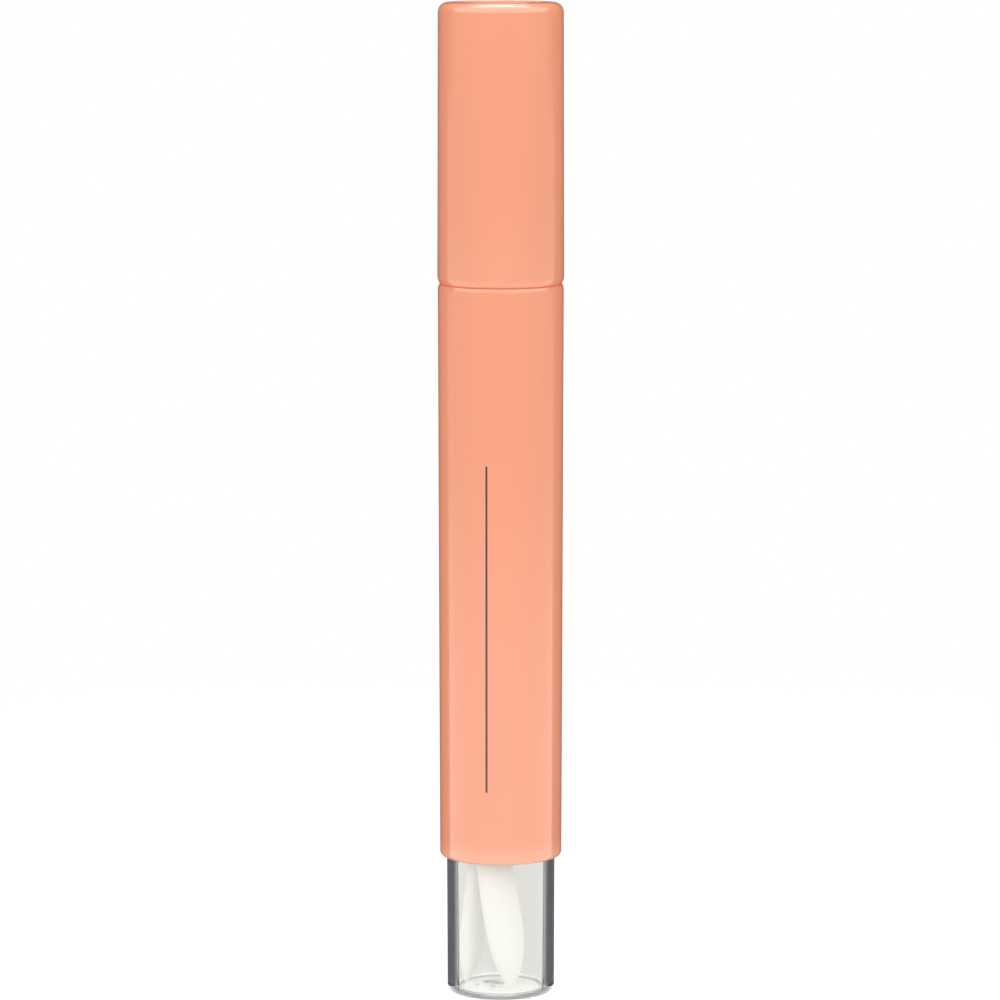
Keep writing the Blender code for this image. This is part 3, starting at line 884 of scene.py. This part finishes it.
reach = STORE_FLOOR_RADIUS - NIB_THICKNESS / 2 - NIB_WALL_GAP
for name, node_name, head_bearing, tail_bearing, face_bearing, head_share, tail_share in SPARE_NIBS:
    head = head_share * reach * towards(head_bearing)
    tail = tail_share * reach * towards(tail_bearing)
    lean = (tail - head) / ((1 - NIB_HEAD_share) * NIB_LENGTH)
    axis = Vector((lean.x, lean.y, sqrt(1 - lean.length_squared)))
    side = axis.cross(towards(face_bearing).to_3d()).normalized()
    turn = Matrix((side.cross(axis), side, axis)).transposed()
    tip = head - lean * NIB_HEAD_share * NIB_LENGTH
    spare = felt_nib(name)
    spare.matrix_world = Matrix.Translation((tip.x, tip.y, NIB_REST)) @ turn.to_4x4()
    bpy.ops.object.transform_apply(location=True, rotation=True, scale=True)
    spare.data.materials.append(felt)
    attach(spare, node_name)
    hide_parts(node_name)


# Tail cap: a clear moulded cup with a thick wall. A thinner spigot with a snap bead plugs into the
# barrel. The base has a small gate recess. The dark rim along the wall's sides and the grey of its foot
# are painted shade: the plastic's tint darkens as its surface turns away.
TAIL_LENGTH = 0.0177
TAIL_WALL = 0.00127
TAIL_FLOOR = 0.0008
TAIL_ROUNDING = 0.0009
TAIL_STEPS = 8
TAIL_INNER_ROUNDING = 0.0004
TAIL_INNER_STEPS = 6
TAIL_DRAFT = 0.00007
SPIGOT_WALL = 0.00072
SPIGOT_LEAD_IN = 0.0003
SPIGOT_SHOULDER = 0.0009
BEAD_RISE = 0.00012
BEAD_WIDTH = 0.0012
BEAD_HEIGHT = 0.0050
RECESS_RADIUS = 0.0015
RECESS_DEPTH = 0.00025
SPRUE_RADIUS = 0.00045
SPRUE_DROP = 0.00015
CLEAR = (0.975, 0.968, 0.938, 1)
CLEAR_IOR = 1.59
LETS_LIGHT_IN = (1.0, 1.0, 0.995, 1)
RIPPLE_STRETCH = (1, 1, 0.12)
RIPPLE_NOISE = (420, 3)
RIPPLE_STRENGTH = 0.25
RIPPLE_HEIGHT = 0.00003
HAZE_NOISE = (1600, 4)
HAZE = 0.06
SLANT_BLEND = 0.5
EDGE_share = 0.7
FOOT_PAINTED_SHADE = (0.17, 0.165, 0.165, 1)
FOOT_SLANT_shares = (-0.10, 0.36)
FOOT_FROST = 0.35
MARK_SHADE = (0.16, 0.16, 0.17, 1)
MARK_SPOT = (-0.0015, 0, 0)
MARK_SHAPE = (1, 0.70, 0)
MARK_RADIUS = 0.0020
MARK_STRETCH = (0.5, 1, 1)
MARK_NOISE = (700, 4, 0.5, 1.5)
MARK_STROKES = (0.44, 0.54)
PAINTED_RIM_SHADE = (
    (0.000, (0.975, 0.968, 0.938, 1)),
    (0.372, (0.930, 0.910, 0.880, 1)),
    (0.399, (0.800, 0.780, 0.750, 1)),
    (0.404, (0.014, 0.012, 0.013, 1)),
    (0.430, (0.014, 0.012, 0.013, 1)),
    (0.438, (0.210, 0.198, 0.208, 1)),
    (0.490, (0.200, 0.188, 0.198, 1)),
    (0.516, (0.047, 0.043, 0.056, 1)),
    (0.730, (0.047, 0.043, 0.056, 1)),
    (0.800, (0.160, 0.150, 0.160, 1)),
)

tail_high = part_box("tail_cap")[1]
tail_top = tail_high.x
tail_base = tail_top - TAIL_DRAFT
store_top = tail_top - TAIL_WALL
store_floor = tail_base - TAIL_WALL
spigot = store_top + SPIGOT_WALL
shoulder = TAIL_LENGTH + SPIGOT_SHOULDER
bead_low = shoulder + BEAD_HEIGHT
tail_cap = turned(
    "clear_tail_cap",
    [
        (POLE, TAIL_FLOOR),
        (store_floor, TAIL_FLOOR),
        (store_top, TAIL_LENGTH),
        (store_top, tail_high.z),
        (spigot - SPIGOT_LEAD_IN, tail_high.z),
        (spigot, tail_high.z - SPIGOT_LEAD_IN),
        (spigot, bead_low + BEAD_WIDTH),
        (spigot + BEAD_RISE, bead_low + BEAD_WIDTH * 2 / 3),
        (spigot + BEAD_RISE, bead_low + BEAD_WIDTH / 3),
        (spigot, bead_low),
        (spigot, shoulder),
        (tail_top, shoulder),
        (tail_top, TAIL_LENGTH),
        (tail_base, 0),
        (RECESS_RADIUS, 0),
        (RECESS_RADIUS, RECESS_DEPTH),
        (SPRUE_RADIUS, RECESS_DEPTH),
        (SPRUE_RADIUS, RECESS_DEPTH - SPRUE_DROP),
        (POLE, RECESS_DEPTH - SPRUE_DROP),
    ],
)
close_ends()
round_ring(tail_base, 0, TAIL_ROUNDING, TAIL_STEPS)
round_ring(store_floor, TAIL_FLOOR, TAIL_INNER_ROUNDING, TAIL_INNER_STEPS)
leave_bench()
clear = bpy.data.materials.new("clear_styrene")
tree = emptied(clear)
place = object_place(tree)
height = height_in(tree, place)
out = from_axis(tree, place)
ripple = noise(tree, stretched(tree, place, RIPPLE_STRETCH), *RIPPLE_NOISE)
haze = times(tree, noise(tree, place, *HAZE_NOISE), HAZE)
# Painted shade: the outer wall's tint runs through dark bands as its surface turns away from view.
slant = put(tree, "ShaderNodeLayerWeight", {"Blend": SLANT_BLEND}).outputs["Facing"]
painted_rim_bands = put(tree, "ShaderNodeValToRGB", {"Fac": slant})
while len(painted_rim_bands.color_ramp.elements) < len(PAINTED_RIM_SHADE):
    painted_rim_bands.color_ramp.elements.new(1.0)
for stop, (spot, colour) in zip(painted_rim_bands.color_ramp.elements, PAINTED_RIM_SHADE):
    stop.position = spot
    stop.color = colour
outer_wall = maths(tree, "GREATER_THAN", out, tail_base - TAIL_DRAFT)
tint = mixed(tree, outer_wall, CLEAR, painted_rim_bands.outputs[0])
low = rest_of(tree, fades(tree, height, EDGE_share * TAIL_ROUNDING, TAIL_ROUNDING))
foot = times(tree, low, fades(tree, out, store_floor - TAIL_ROUNDING, store_floor))
frost = times(tree, foot, FOOT_FROST)
# Painted shade: the foot's tint turns grey, darker where its rounding is more slanted.
foot = times(tree, foot, fades(tree, slant, *FOOT_SLANT_shares))
tint = mixed(tree, foot, tint, FOOT_PAINTED_SHADE)
torn = noise(tree, stretched(tree, place, MARK_STRETCH), *MARK_NOISE)
floor_ends = {0: height, 1: TAIL_FLOOR, 2: NEAR}
on_floor = put(tree, "ShaderNodeMath", floor_ends, operation="COMPARE").outputs[0]
aside = vector_maths(tree, "SUBTRACT", place, MARK_SPOT)
aside = vector_maths(tree, "LENGTH", vector_maths(tree, "MULTIPLY", aside, MARK_SHAPE))
inside_mark = rest_of(tree, fades(tree, aside, EDGE_share * MARK_RADIUS, MARK_RADIUS))
mark = times(tree, fades(tree, torn, *MARK_STROKES), times(tree, on_floor, inside_mark))
look = {
    "Base Color": mixed(tree, mark, tint, MARK_SHADE),
    "Roughness": maths(tree, "ADD", haze, frost),
    "IOR": CLEAR_IOR,
    "Transmission Weight": 1.0,
    "Normal": bumpy(tree, RIPPLE_STRENGTH, RIPPLE_HEIGHT, ripple),
}
shader = put(tree, "ShaderNodeBsdfPrincipled", look)
path = put(tree, "ShaderNodeLightPath")
is_light = maths(tree, "MAXIMUM", path.outputs["Is Shadow Ray"], path.outputs["Is Diffuse Ray"])
open_way = put(tree, "ShaderNodeBsdfTransparent", {"Color": LETS_LIGHT_IN})
surfaced(tree, either(tree, is_light, shader, open_way))
tail_cap.data.materials.append(clear)
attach(tail_cap, "tail_cap")
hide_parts("tail_cap")


# Inside pieces: the rear plug closes the oil chamber over the nib store, and the film sleeve holds
# the fibre rod that soaks up the oil. Their solids are right as they are and get their finish here.
FIBRE = (0.90, 0.85, 0.72, 1)
FIBRE_WET = (0.80, 0.72, 0.52, 1)
FIBRE_FINISH = (0.8, 6500, 0.00004)
FILM = (0.80, 0.82, 0.84, 1)
FILM_SHADE = (0.70, 0.73, 0.76, 1)
FILM_FINISH = (0.25, 1200, 0.00001)


def refinish(node_name, material):
    """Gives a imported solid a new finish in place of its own."""
    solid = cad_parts[node_name]
    solid.data.materials.clear()
    solid.data.materials.append(material)


refinish("rear_plug", natural)
refinish("reservoir_core", plastic("oiled_fibre", FIBRE, FIBRE_WET, *FIBRE_FINISH))
refinish("reservoir_sleeve", plastic("wrap_film", FILM, FILM_SHADE, *FILM_FINISH))
